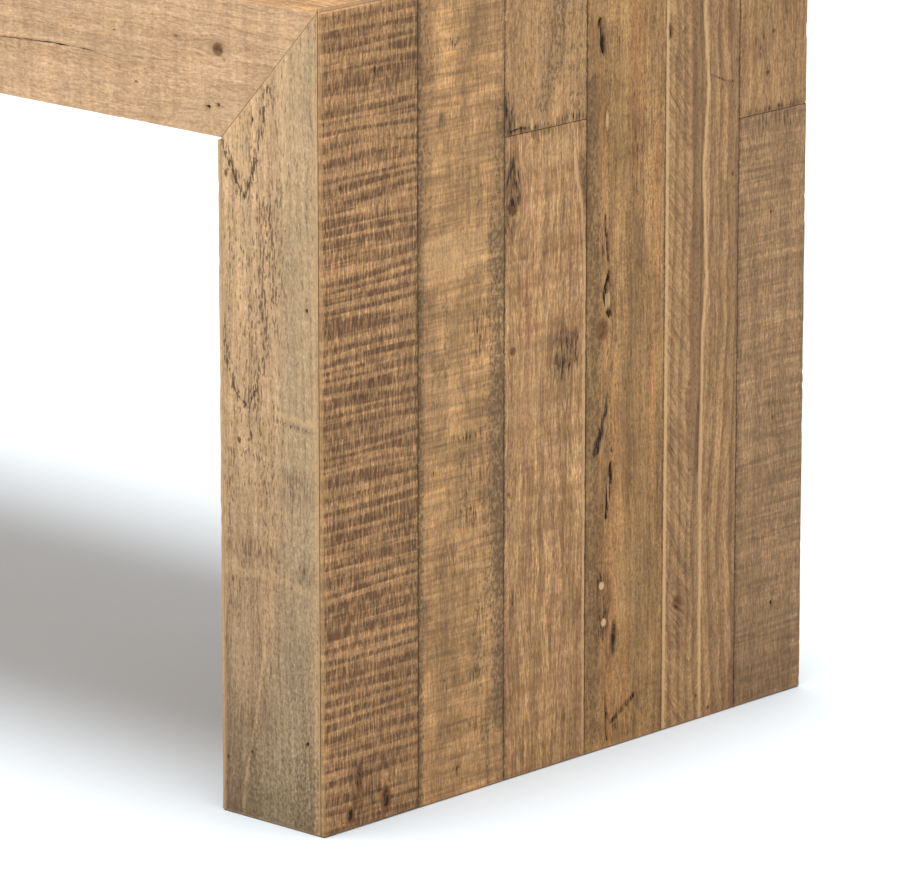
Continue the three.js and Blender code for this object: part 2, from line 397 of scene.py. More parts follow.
def square_end(v, w):
    return 0 * v


@dataclass
class Board:
    """One board of the table, in the place of the CAD node of the same name.

    axes: the table's axes that u, v and w follow.
    low_edge, high_edge: what v = 0 and v = width are: "seam", "open", "lip" (beside a fascia board),
    "under" (bevelled in behind a fascia board) or "mitre" (a fascia board's own bevelled edge).
    start, stop: how far in from each end of the node's box the board starts, at (v, w).
    marks: None for random ones.
    """

    name: str
    axes: str
    look: dict
    low_edge: str = "seam"
    high_edge: str = "seam"
    start: object = square_end
    stop: object = square_end
    marks: list = None
    step: float = FACE_STEP
    end_arrises: tuple = (SEAM_ARRIS, SEAM_ARRIS)
    sunk: float = 0.0
    seed: int = 0

    def __post_init__(self):
        self.axes = [np.array(AXES[axis]) for axis in self.axes.split()]
        low, high = node_box(self.name)
        self.origin = np.where(sum(self.axes) > 0, low, high)
        self.length, self.width, self.thickness = (abs(axis) @ (high - low) for axis in self.axes)
        if self.marks is None:
            self.marks = random_marks(self.length, self.width, self.seed)

    def noise(self, u, v, cell_u, cell_v, number):
        """Smooth noise over the board, different for each number."""
        return smooth_noise(u, v, cell_u, cell_v, self.seed + number)

    def corners(self):
        """The section's corners with their rounding, face first."""
        slant = {"lip": self.thickness - LIP, "under": self.thickness, "mitre": self.thickness}
        low_lip = [(0, LIP, TIGHT_ARRIS)] if self.low_edge == "lip" else []
        high_lip = [(self.width, LIP, TIGHT_ARRIS)] if self.high_edge == "lip" else []
        return [
            (0, 0, EDGE_ARRIS[self.low_edge]),
            (self.width, 0, EDGE_ARRIS[self.high_edge]),
            *high_lip,
            (self.width - slant.get(self.high_edge, 0), self.thickness, 0),
            (slant.get(self.low_edge, 0), self.thickness, 0),
            *low_lip,
        ]

    def grid(self):
        """The sweep's coordinates: u, v, w, where the board begins and finishes there, and its section."""
        fine_share = []
        fine_v = []
        for mark in self.marks:
            along, across = mark.fine_lines()
            fine_v += across
            for (place, reach, spacing), (beside, _, _) in zip(along, across):
                begin, finish = self.ends_at(np.array([beside], float), np.zeros(1))
                share = (place - begin[0]) / (finish[0] - begin[0])
                fine_share.append([share, reach / self.length, spacing / self.length])
        section = Section(self.corners(), grid_lines(0, self.width, self.step, fine_v))
        shares = grid_lines(0, 1, self.step / self.length, fine_share, 0.5 / self.length)[1:-1]
        first, last = self.end_arrises
        stations = [(0, offset * first, inset * first) for offset, inset in ROUNDING]
        stations += [(share, 0, 0) for share in shares]
        stations += [(1, -offset * last, inset * last) for offset, inset in reversed(ROUNDING)]
        share, offset, inset = (np.array(column)[:, None] for column in zip(*stations))
        v = section.points[:, 0] + section.inward[:, 0] * inset
        w = np.maximum(section.points[:, 1] + section.inward[:, 1] * inset, inset)
        begin, finish = self.ends_at(v, w)
        return begin + share * (finish - begin) + offset, v, w, begin, finish, section

    def ends_at(self, v, w):
        """Where the board starts and stops along u."""
        return self.start(v, w), self.length - self.stop(v, w)

    def relief(self, u, v):
        """How far the face lies below the board's own plane: cupping, saw ridges and what marks it."""
        depth = self.sunk + CUPPING * (1 + self.noise(u, v, 240, 60, 1))
        depth = depth + self.look["ridges"] * (1 + self.noise(u, v, self.look["ridge_pitch"], 70, 2))
        for mark in self.marks:
            if mark.depth:
                depth = depth + mark.depth * mark.cover(u, v)
        return depth

    def wear(self, u, v, w):
        """How far each arris is worn back at u, at points near it."""
        amount = 0
        arrises = ((self.low_edge, np.hypot(v, w)), (self.high_edge, np.hypot(self.width - v, w)))
        for side, (edge, distance) in enumerate(arrises):
            soft = 1 + self.noise(u, 0 * u, 35, 1, 10 + side)
            chips = smooth_step(0.45, 1.0, self.noise(u, 0 * u, 7, 1, 20 + side))
            near = np.exp(-(distance / WEAR_REACH) ** 2)
            amount = amount + near * EDGE_WEAR[edge] * (0.25 * soft + 0.9 * chips)
        return amount

    def log_coordinates(self, u, v, w):
        """Where a point lies across the grain, with its wander and its turns at knots, and in the log."""
        across = v
        for mark in self.marks:
            if mark.bends_grain:
                away_u = (u - mark.u) / (KNOT_REACH[0] * mark.half_u)
                away_v = (v - mark.v) / (KNOT_REACH[1] * mark.half_v)
                across = across + (mark.v - across) * KNOT_PULL * np.exp(-away_u ** 2 - away_v ** 2)
        wander = self.look["wander"]
        across = across + wander * self.noise(u, v, 170, 60, 3)
        across = across + 0.25 * wander * self.noise(u, v, 45, 25, 4)
        slanted_to, slope = self.look["slant"]
        straight = smooth_step(-SLANT_EDGE, SLANT_EDGE, v - slanted_to * self.width)
        grain = across + slope * u * (1 - straight)
        pith_v, pith_depth, tilt_v, tilt_depth = self.look["pith"]
        across = across - self.width * pith_v - tilt_v * u
        down = w + pith_depth + tilt_depth * u
        down = down + 0.6 * wander * self.noise(u, v, 260, 80, 5)
        return grain, across, down

    def build(self):
        u, v, w, begin, finish, section = self.grid()
        stations, count = u.shape
        worn = self.wear(u, v, w)
        shown_v = v + section.inward[:, 0] * worn
        shown_w = w + section.inward[:, 1] * worn + self.relief(u, v) * section.facing
        shown = (u, shown_v, np.clip(shown_w, 0, self.thickness))
        place = self.origin + sum(axis * value[..., None] for axis, value in zip(self.axes, shown))
        index = np.arange(stations * count).reshape(stations, count)
        after = np.roll(index, -1, axis=1)
        walls = np.stack([index[:-1], after[:-1], after[1:], index[1:]], axis=-1).reshape(-1, 4)
        faces = [*walls.tolist(), index[0][::-1].tolist(), index[-1].tolist()]
        place = place.reshape(-1, 3)
        mesh = bpy.data.meshes.new(self.name)
        mesh.from_pydata((place * MM).tolist(), [], faces)
        if walls_volume(place - place.mean(axis=0), walls) < 0:
            mesh.flip_normals()
        mesh.shade_smooth()
        mesh.set_sharp_from_angle(angle=math.radians(SHARP_ANGLE))
        self.write_attributes(mesh, u, v, w, begin, finish)
        mesh.materials.append(pine(self.look))
        piece = bpy.data.objects.new("looks_" + self.name, mesh)
        bpy.context.scene.collection.objects.link(piece)
        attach(piece, "root")
        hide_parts(self.name)

    def write_attributes(self, mesh, u, v, w, begin, finish):
        """What the pine material reads at each point of the board."""
        shift = np.random.default_rng(self.seed + 30).uniform(-4, 4, 3)
        grain, across, down = self.log_coordinates(u, v, w)
        marks = np.zeros(u.shape + (5,))
        for mark in self.marks:
            marks[..., mark.channel] = np.maximum(marks[..., mark.channel], mark.amount * mark.cover(u, v))
        seams = [FAR + 0 * u]
        rims = [FAR + 0 * u]
        (seams if self.low_edge == "seam" else rims).append(v + 0 * u)
        (seams if self.high_edge == "seam" else rims).append(self.width - v + 0 * u)
        for arris, distance in zip(self.end_arrises, (u - begin, finish - u)):
            if arris == BUTT_ARRIS:
                seams.append(distance + 1.0)  # a butt joint holds less grime than a seam
            else:
                rims.append(distance)
        values = {
            "board": np.stack([u, v, w], axis=-1) * MM + shift,
            "grain": np.stack([u, grain, w], axis=-1) * MM + shift,
            "log": np.stack([u, across, down], axis=-1) * MM,
            "marks": marks[..., :4],
            "flecks": marks[..., FLECK],
            # level: painted shade, darker towards the board's foot (u = 0) by the look's foot shade amount
            # and curve
            "level": 1 - self.look["foot_dark"] * (1 - u / self.length) ** self.look["foot_curve"],
            "rim": np.clip(np.minimum.reduce(rims), 0, FAR),
            "seam": np.clip(np.minimum.reduce(seams), 0, FAR),
            "end_grain": np.clip(1 - np.minimum(u - begin, finish - u) / END_GRAIN_DEPTH, 0, 1),
        }
        for name, numbers in values.items():
            kind, field = ATTRIBUTES[numbers.size // u.size]
            attribute = mesh.attributes.new(name, kind, "POINT")
            attribute.data.foreach_set(field, np.ascontiguousarray(numbers, dtype=np.float32).ravel())


def walls_volume(points, walls):
    """Positive if the sweep's walls face out."""
    a, b, c, d = (points[corner] for corner in walls.T)
    return np.sum(np.cross(a, b) * c) + np.sum(np.cross(a, c) * d)


# ------------------------------------------------------------------ the pine material


def tone(red, green, blue):
    """A colour as shown on a screen, 0 to 255, as the linear colour that a shader takes."""
    linear = [((c / 255 + 0.055) / 1.055) ** 2.4 if c > 10 else c / 255 / 12.92 for c in (red, green, blue)]
    return (*linear, 1.0)


class Field:
    """A node's output. Sums with it add nodes."""

    def __init__(self, nodes, socket):
        self.nodes = nodes
        self.socket = socket

    def __add__(self, other):
        return self.nodes.math("ADD", self, other)

    def __sub__(self, other):
        return self.nodes.math("SUBTRACT", self, other)

    def __mul__(self, other):
        return self.nodes.math("MULTIPLY", self, other)

    def step(self, low, high, to_low=0.0, to_high=1.0):
        """A smooth step from to_low to to_high as this goes from low to high."""
        settings = {"interpolation_type": "SMOOTHSTEP"}
        return self.nodes.field("ShaderNodeMapRange", settings, (self, low, high, to_low, to_high))

    def off(self, strength):
        """Noise around its middle value, times a strength."""
        return (self - 0.5) * strength

    def around_one(self, contrast):
        """1 plus or minus about half of contrast, from noise."""
        return self.off(contrast * 2) + 1.0

    def noise(self, along, across, detail=2.0, roughness=0.55, distortion=0.0):
        """Noise from 0 to 1 at this place. Its features are about `along` by `across` millimetres."""
        place = self.nodes.times(self, (1000 / along, 1000 / across, 1000 / across))
        inputs = {"Vector": place, "Scale": 1.0, "Detail": detail, "Roughness": roughness}
        inputs["Distortion"] = distortion
        return self.nodes.field("ShaderNodeTexNoise", {"noise_dimensions": "3D"}, inputs, "Fac")


class Nodes:
    """Short calls that add nodes to a material. An input is a field or a plain value."""

    def __init__(self, name):
        self.material = bpy.data.materials.new(name)
        self.material.use_nodes = True
        self.tree = self.material.node_tree
        self.tree.nodes.clear()

    def put(self, socket, value):
        if isinstance(value, Field):
            self.tree.links.new(value.socket, socket)
        elif socket.type == "VECTOR":
            socket.default_value = value[:3]
        else:
            socket.default_value = value

    def node(self, kind, settings, inputs):
        """A new node. Its inputs are its first ones in order, or a dictionary by name or number."""
        node = self.tree.nodes.new(kind)
        for key, value in settings.items():
            setattr(node, key, value)
        for key, value in inputs.items() if isinstance(inputs, dict) else enumerate(inputs):
            self.put(node.inputs[key], value)
        return node

    def field(self, kind, settings, inputs, output=0):
        return Field(self, self.node(kind, settings, inputs).outputs[output])

    def attribute(self, name, output="Fac"):
        return self.field("ShaderNodeAttribute", {"attribute_name": name}, (), output)

    def parts(self, kind, whole):
        """The three parts of a vector or a colour."""
        return [Field(self, output) for output in self.node(kind, {}, (whole,)).outputs[:3]]

    def math(self, operation, *inputs, clamp=False):
        return self.field("ShaderNodeMath", {"operation": operation, "use_clamp": clamp}, inputs)

    def times(self, vector, factors):
        return self.field("ShaderNodeVectorMath", {"operation": "MULTIPLY"}, (vector, factors))

    def scale(self, vector, factor):
        return self.field("ShaderNodeVectorMath", {"operation": "SCALE"}, {0: vector, "Scale": factor})

    def mix(self, a, b, share):
        return self.field("ShaderNodeMix", {"data_type": "RGBA"}, {0: share, 6: a, 7: b}, 2)

    def output(self, kind, inputs):
        """End with a shader."""
        self.node("ShaderNodeOutputMaterial", {}, {"Surface": self.field(kind, {}, inputs)})

    def wood_shader(self, colour, roughness, height, bump, specular=0.5):
        """End with a wood's shader, with fine relief from height."""
        relief = self.field("ShaderNodeBump", {}, {"Strength": bump, "Distance": MM, "Height": height})
        inputs = {"Base Color": colour, "Roughness": roughness, "Normal": relief}
        inputs["Specular IOR Level"] = specular
        self.output("ShaderNodeBsdfPrincipled", inputs)


PLAIN_LOOK = {
    "wax": (1.01, 0.938, 0.84),  # how much of red, green and blue the finish lets through
    "ring_contrast": 0.45,
    "ring_width": 4.0,
    "pith": (0.5, 60, 0.01, 0.02),  # the log's heart: share of the width, depth, and how both drift along u
    "wander": 3.0,  # how far the grain strays across the board
    "slant": (0.5, 0.0),  # up to this share of the width, the grain runs across at this slope
    "streak": 0.22,
    "fibre": 0.4,
    "grit": 0.2,
    "blotch": 0.22,
    "dashes": 0.0,
    "dash_length": 14,
    "dash_width": 2.6,
    "bands": 0.0,  # strength of the bands that a saw left across the grain
    "band_pitch": 22,
    "band_length": 110,
    "band_share": 0.0,  # above 0 the bands are broader than the gaps between them
    "teeth": 0.12,
    "comb": 0.5,
    "saw": 0.15,
    "ridges": 0.08,
    "ridge_pitch": 14,
    "specks": 0.3,
    "weather": 0.25,
    "grey_cover": 0.55,
    "grey_grit": 0.6,
    "rim_pale": 0.4,
    "seam_grime": 0.35,
    "foot_dark": 0.0,  # painted shade: how much darker the board is painted at its foot, standing in for light that falls off towards the floor
    "foot_curve": 1.0,
    "bump": 0.9,
    "band_tone": tone(92, 62, 38),
    "grey_tone": tone(112, 92, 68),
    "grit_tone": tone(84, 66, 46),
    "knot_tone": tone(118, 82, 48),
    "pale_tone": tone(206, 170, 126),
    "dark_tone": tone(40, 27, 18),
    "stain_tone": tone(78, 56, 36),
    "seam_tone": tone(70, 52, 36),
}


class Pine:
    """The wood of a board as nodes: colour and height are built up layer by layer."""

    def __init__(self, look):
        self.look = look
        self.nodes = nodes = Nodes("pine_" + look["name"])
        self.board = board = nodes.attribute("board", "Vector")
        marks = nodes.parts("ShaderNodeSeparateColor", nodes.attribute("marks", "Color"))
        self.dark_mark, self.knot_mark, self.pale_mark = marks
        self.grey_mark = nodes.attribute("marks", "Alpha")
        self.grain = grain = nodes.attribute("grain", "Vector")
        self.fibre = grain.noise(24, 2.2, 3.0, 0.68).step(0.28, 0.72)
        self.hair = grain.noise(10, 1.3, 2.0, 0.7).step(0.3, 0.7)
        self.tick = grain.noise(12, 2.1, 2.0, 0.6).step(0.42, 0.6)
        self.blotch = board.noise(90, 45, 3.0, 0.6, 0.6)
        self.grit = board.noise(3.4, 2.4, 2.0, 0.7).step(0.32, 0.68)
        self.rings = self.ring_pattern()
        self.add_wood()
        self.add_saw_marks()
        self.add_flecks()
        self.add_weather()
        self.add_rims()
        self.add_marks()
        self.finish()

    def ring_pattern(self):
        """0 in earlywood rising to 1 in latewood, from the place across the log."""
        nodes = self.nodes
        _, across, down = nodes.parts("ShaderNodeSeparateXYZ", nodes.attribute("log", "Vector"))
        squares = [nodes.math("POWER", nodes.math("ABSOLUTE", side), 2.0) for side in (across, down)]
        radius = nodes.math("SQRT", squares[0] + squares[1])
        wobble = self.board.noise(60, 5)
        year = nodes.math("FRACT", radius * (1000 / self.look["ring_width"]) + wobble * 0.9)
        return year.step(0.25, 0.88) * year.step(0.9, 1.0, 1.0, 0.0)

    def blend(self, tone_to, share):
        self.colour = self.nodes.mix(self.colour, tone_to, share)

    def add_wood(self):
        """Growth rings, then long streaks, fibres, patches and grit, and painted shade that darkens the
        board towards its foot.
        """
        nodes = self.nodes
        look = self.look
        self.colour = nodes.mix(look["early"], look["late"], self.rings * look["ring_contrast"])
        if "warm" in look:
            self.blend(look["warm"], self.board.noise(300, 14).step(0.48, 0.66, 0.0, 0.65))
        if look["dashes"]:
            dash = self.grain.noise(look["dash_length"], look["dash_width"], 2.0, 0.6)
            dash = dash + self.board.noise(70, 22).off(0.35)
            self.blend(look["late"], dash.step(0.5, 0.6) * look["dashes"])
        light = self.grain.noise(240, 7, 3.0, 0.6).around_one(look["streak"] * 2)
        for noise, contrast in (
            (self.fibre, look["fibre"] * 0.35),
            (self.hair, look["fibre"] * 0.6),
            (self.blotch, look["blotch"] * 2),
            (self.grit, look["grit"]),
        ):
            light = light * noise.around_one(contrast)
        # painted shade: the level attribute darkens the colour towards the board's foot
        self.colour = nodes.scale(self.colour, light * nodes.attribute("level"))
        self.height = (self.fibre + self.hair) * 0.12 + self.grit * 0.06 + self.rings * 0.06

    def add_saw_marks(self):
        """Bands and fine lines that a saw left across the grain. Fibres comb the bands' edges."""
        nodes = self.nodes
        look = self.look
        if look["bands"]:
            pitch = look["band_pitch"]
            along, _, _ = nodes.parts("ShaderNodeSeparateXYZ", self.board)
            drift = self.board.noise(pitch * 3, 420)
            tooth = nodes.math("FRACT", along * (1000 / pitch) + drift * 4.0)
            level = tooth.step(0.0, 0.12) * tooth.step(0.32, 0.8, 1.0, 0.0) * look["teeth"]
            patches = self.board.noise(pitch * 2.5, 190, 2.0, 0.6)
            rough = self.board.noise(pitch * 0.42, look["band_length"], 3.0, 0.6, 0.1)
            for noise, strength in ((patches, 0.6), (rough, 1.0), (self.blotch, 0.25), (self.tick, 0.1)):
                level = level + noise.off(strength)
            band = level.step(-0.08 - look["band_share"], 0.3 - look["band_share"])
            band = band * self.tick.step(0.0, 1.0, 1.0 - look["comb"], 1.0)
            self.blend(look["band_tone"], band * look["bands"])
            self.height = self.height - band * (0.14 * look["bands"])
        fine = self.board.noise(2.8, 60, 2.0, 0.65, 0.2)
        broad = self.board.noise(6.0, 60, 2.0, 0.6, 0.3)
        lines = (fine + broad) * 0.5
        self.colour = nodes.scale(self.colour, lines.around_one(look["saw"] * 2))
        self.height = self.height + lines * (look["saw"] * 0.8)

    def add_flecks(self):
        """Short dark dashes along the grain, gathered in the latewood and where the board is marked."""
        nodes = self.nodes
        look = self.look
        clusters = self.rings + self.board.noise(60, 16)
        marked = nodes.attribute("flecks")
        level = self.grain.noise(8.0, 1.9, 2.0, 0.6) + clusters * 0.07 + marked * 0.14
        share = nodes.math("MULTIPLY", level.step(0.655, 0.7), marked * 0.5 + look["specks"], clamp=True)
        self.blend(look.get("fleck_tone", look["band_tone"]), share)
        self.height = self.height - share * 0.16

    def add_weather(self):
        """Grey weathering, in patches of its own and where the board is marked for it."""
        nodes = self.nodes
        look = self.look
        ragged = self.fibre.off(0.5) + self.grit.off(0.7)
        patches = self.board.noise(130, 22, 3.0, 0.6) + ragged * 0.2
        patches = patches.step(0.5, 0.74, 0.0, look["weather"])
        marked = (self.grey_mark + ragged * 0.75).step(0.15, 1.1) * self.grey_mark.step(0.0, 0.35)
        self.greyness = nodes.math("MAXIMUM", patches, marked)
        shade = self.grit.around_one(0.2) * self.fibre.around_one(0.15)
        self.blend(nodes.scale(look["grey_tone"], shade), self.greyness * look["grey_cover"])
        speck = self.board.noise(4.5, 3.0, 2.0, 0.65) + self.greyness * 0.16
        speck = speck.step(0.54, 0.68) * look["grey_grit"]
        self.blend(look["grit_tone"], speck * self.greyness.step(0.05, 0.5))
        self.height = self.height - speck * 0.1

    def add_rims(self):
        """Open arrises rubbed pale, and grime in and beside the seams."""
        nodes = self.nodes
        look = self.look
        rim = nodes.attribute("rim") + self.grit.off(1.2)
        seam = nodes.attribute("seam") + self.grit.off(1.6)
        uneven = self.board.noise(45, 20).step(0.35, 0.6)
        self.blend(look["grit_tone"], seam.step(0.9, 5.0, look["seam_grime"], 0.0) * uneven)
        self.blend(look["seam_tone"], seam.step(0.2, 1.4, 0.6, 0.0))
        self.blend(look["pale_tone"], rim.step(0.4, 2.4, look["rim_pale"], 0.0))

    def add_marks(self):
        """Knots, stains, holes and fillings."""
        nodes = self.nodes
        look = self.look
        edge = self.grit.off(0.22) + self.fibre.off(0.22)
        heart = nodes.scale(look["knot_tone"], self.board.noise(3, 2, 3.0).around_one(1.0))
        knot = (self.knot_mark + edge) * self.knot_mark.step(0.0, 0.2)
        self.blend(heart, knot.step(0.1, 0.9, 0.0, 0.9))
        streaked = (edge + self.fibre.off(0.5) + self.tick.off(0.4)) * self.dark_mark.step(0.0, 0.35)
        dark = (self.dark_mark + streaked).step(0.02, 1.0)
        self.blend(nodes.mix(look["stain_tone"], look["dark_tone"], dark.step(0.6, 0.95)), dark)
        filled = (self.pale_mark + edge) * self.pale_mark.step(0.0, 0.3)
        self.blend(look["pale_tone"], filled.step(0.0, 1.0))
        self.height = self.height - dark * 0.25

    def finish(self):
        """End grain drinks more of the finish. The sheen is dull, and duller where the wood is grey."""
        nodes = self.nodes
        colour = nodes.scale(self.colour, nodes.attribute("end_grain").step(0.3, 0.9, 1.0, 0.62))
        colour = nodes.times(colour, self.look["wax"])
        roughness = (self.fibre + self.greyness) * 0.16 + 0.58
        nodes.wood_shader(colour, roughness, self.height, self.look["bump"], specular=0.2)


made_pines = {}


def pine(look):
    """The material of a board, made once for each look."""
    if look["name"] not in made_pines:
        made_pines[look["name"]] = Pine(look).nodes.material
    return made_pines[look["name"]]


# ------------------------------------------------------------------ looks of the boards


def wood(name, **settings):
    """A look: the plain one, apart from what it sets itself."""
    return {**PLAIN_LOOK, "name": name, **settings}


# The foot settings in these looks are painted shade: each board is painted darker towards its foot.
RUSSET = wood(
    "russet", wax=(0.99, 0.918, 0.801), early=tone(186, 146, 106), late=tone(116, 82, 55),
    ring_contrast=0.15, ring_width=5, pith=(1.9, 120, 0.0, 0.02), wander=2, streak=0.12, fibre=0.5,
    blotch=0.14, dashes=0.45, dash_width=2.4, bands=0.88, band_pitch=12, band_length=170, teeth=0.26,
    band_tone=tone(92, 64, 42), saw=0.3, ridges=0.14, ridge_pitch=12, weather=0.0, seam_grime=0.2,
    foot_dark=0.1,
)
GOLDEN = wood(
    "golden", wax=(0.97, 0.928, 0.859), early=tone(198, 154, 106), late=tone(146, 108, 70),
    ring_contrast=0.2, ring_width=6, pith=(0.3, 90, 0.0, 0.01), streak=0.14, fibre=0.32, grit=0.16,
    blotch=0.52, dashes=0.15, dash_length=30, bands=0.5, band_pitch=19, band_length=150,
    band_share=-0.06, comb=0.3, band_tone=tone(130, 102, 72), saw=0.5, ridges=0.1, specks=0.5,
    weather=0.58, grey_tone=tone(130, 110, 88), foot_dark=0.18,
)
SMOKY_TAN = wood(
    "smoky_tan", wax=(0.98, 0.908, 0.811), early=tone(188, 150, 108), late=tone(136, 102, 70),
    ring_contrast=0.3, ring_width=7, pith=(0.2, 70, 0.03, 0.0), blotch=0.15, dashes=0.3, saw=0.08,
    specks=0.35, weather=0.5, grey_tone=tone(122, 106, 84),
)
TAN = wood(
    "tan", wax=(0.949, 0.878, 0.782), early=tone(194, 156, 112), late=tone(140, 102, 66),
    warm=tone(182, 138, 104), ring_contrast=0.3, ring_width=9, pith=(0.7, 40, 0.02, 0.03), wander=7,
    streak=0.38, fibre=0.56, grit=0.16, blotch=0.26, dashes=0.6, dash_length=42, dash_width=3.6,
    bands=0.55, band_pitch=24, comb=0.3, band_tone=tone(140, 104, 72), saw=0.14, specks=0.35,
    weather=0.15, foot_dark=0.12,
)
UMBER = wood(
    "umber", wax=(1.02, 0.977, 0.897), early=tone(170, 132, 88), late=tone(122, 88, 55),
    warm=tone(178, 128, 80), ring_contrast=0.3, ring_width=9, pith=(0.25, 50, 0.01, 0.0), wander=4,
    streak=0.3, fibre=0.34, grit=0.24, blotch=0.26, dashes=0.3, dash_length=36, saw=0.14, specks=0.5,
    weather=0.5, grey_tone=tone(114, 92, 66), foot_dark=0.04,
)
WAVY = wood(
    "wavy", wax=(0.99, 0.918, 0.83), early=tone(172, 137, 98), late=tone(112, 80, 52),
    ring_contrast=0.5, ring_width=11, pith=(1.9, 60, 0.0, 0.03), wander=7, slant=(0.44, 0.75),
    streak=0.24, fibre=0.3, blotch=0.12, dashes=0.35, dash_length=34, dash_width=6, saw=0.05,
    specks=0.25, weather=0.1, foot_dark=0.03,
)
SMOKY_GREY = wood(
    "smoky_grey", wax=(0.959, 0.869, 0.753), early=tone(168, 134, 97), late=tone(124, 92, 63),
    ring_contrast=0.3, ring_width=6, pith=(0.4, 60, 0.05, 0.0), streak=0.24, grit=0.18, blotch=0.2,
    dashes=0.3, saw=0.12, weather=0.3,
)
GREY_BROWN = wood(
    "grey_brown", wax=(0.97, 0.898, 0.782), early=tone(168, 136, 102), late=tone(116, 90, 64),
    ring_contrast=0.2, ring_width=6, pith=(0.5, 120, 0.0, 0.0), streak=0.16, grit=0.18, blotch=0.24,
    dashes=0.25, dash_length=30, bands=0.5, band_pitch=11, band_length=70, comb=0.4,
    band_tone=tone(112, 88, 64), saw=0.34, ridge_pitch=8, specks=0.5, grey_tone=tone(118, 98, 74),
    foot_dark=0.14,
)
PALE_UPRIGHT = wood(
    "pale_upright", wax=(1.071, 1.036, 0.994), early=tone(206, 170, 130), late=tone(158, 122, 86),
    ring_contrast=0.25, ring_width=8, pith=(0.25, 14, 0.0, 0.05), wander=4, streak=0.26, fibre=0.24,
    grit=0.14, blotch=0.2, dashes=0.1, bands=0.22, band_pitch=30, band_tone=tone(146, 116, 82), saw=0.1,
    specks=0.6, fleck_tone=tone(92, 68, 46), weather=0.35, grey_grit=0.3, grey_tone=tone(178, 161, 130),
    grit_tone=tone(126, 106, 80), rim_pale=0.5, foot_dark=0.72, foot_curve=1.9,
)
PALE_RAIL = wood(
    "pale_rail", wax=(1.04, 0.997, 0.936), early=tone(209, 173, 136), late=tone(172, 132, 96),
    ring_contrast=0.3, ring_width=10, pith=(0.9, 60, 0.0, 0.01), wander=5, streak=0.16, fibre=0.2,
    grit=0.14, blotch=0.14, dashes=0.15, dash_length=30, bands=0.5, band_pitch=34, band_length=60,
    band_tone=tone(164, 130, 98), saw=0.14, specks=0.35, fleck_tone=tone(128, 94, 62), weather=0.08,
    grey_tone=tone(178, 150, 118),
)

# ------------------------------------------------------------------ marks of the boards that show most

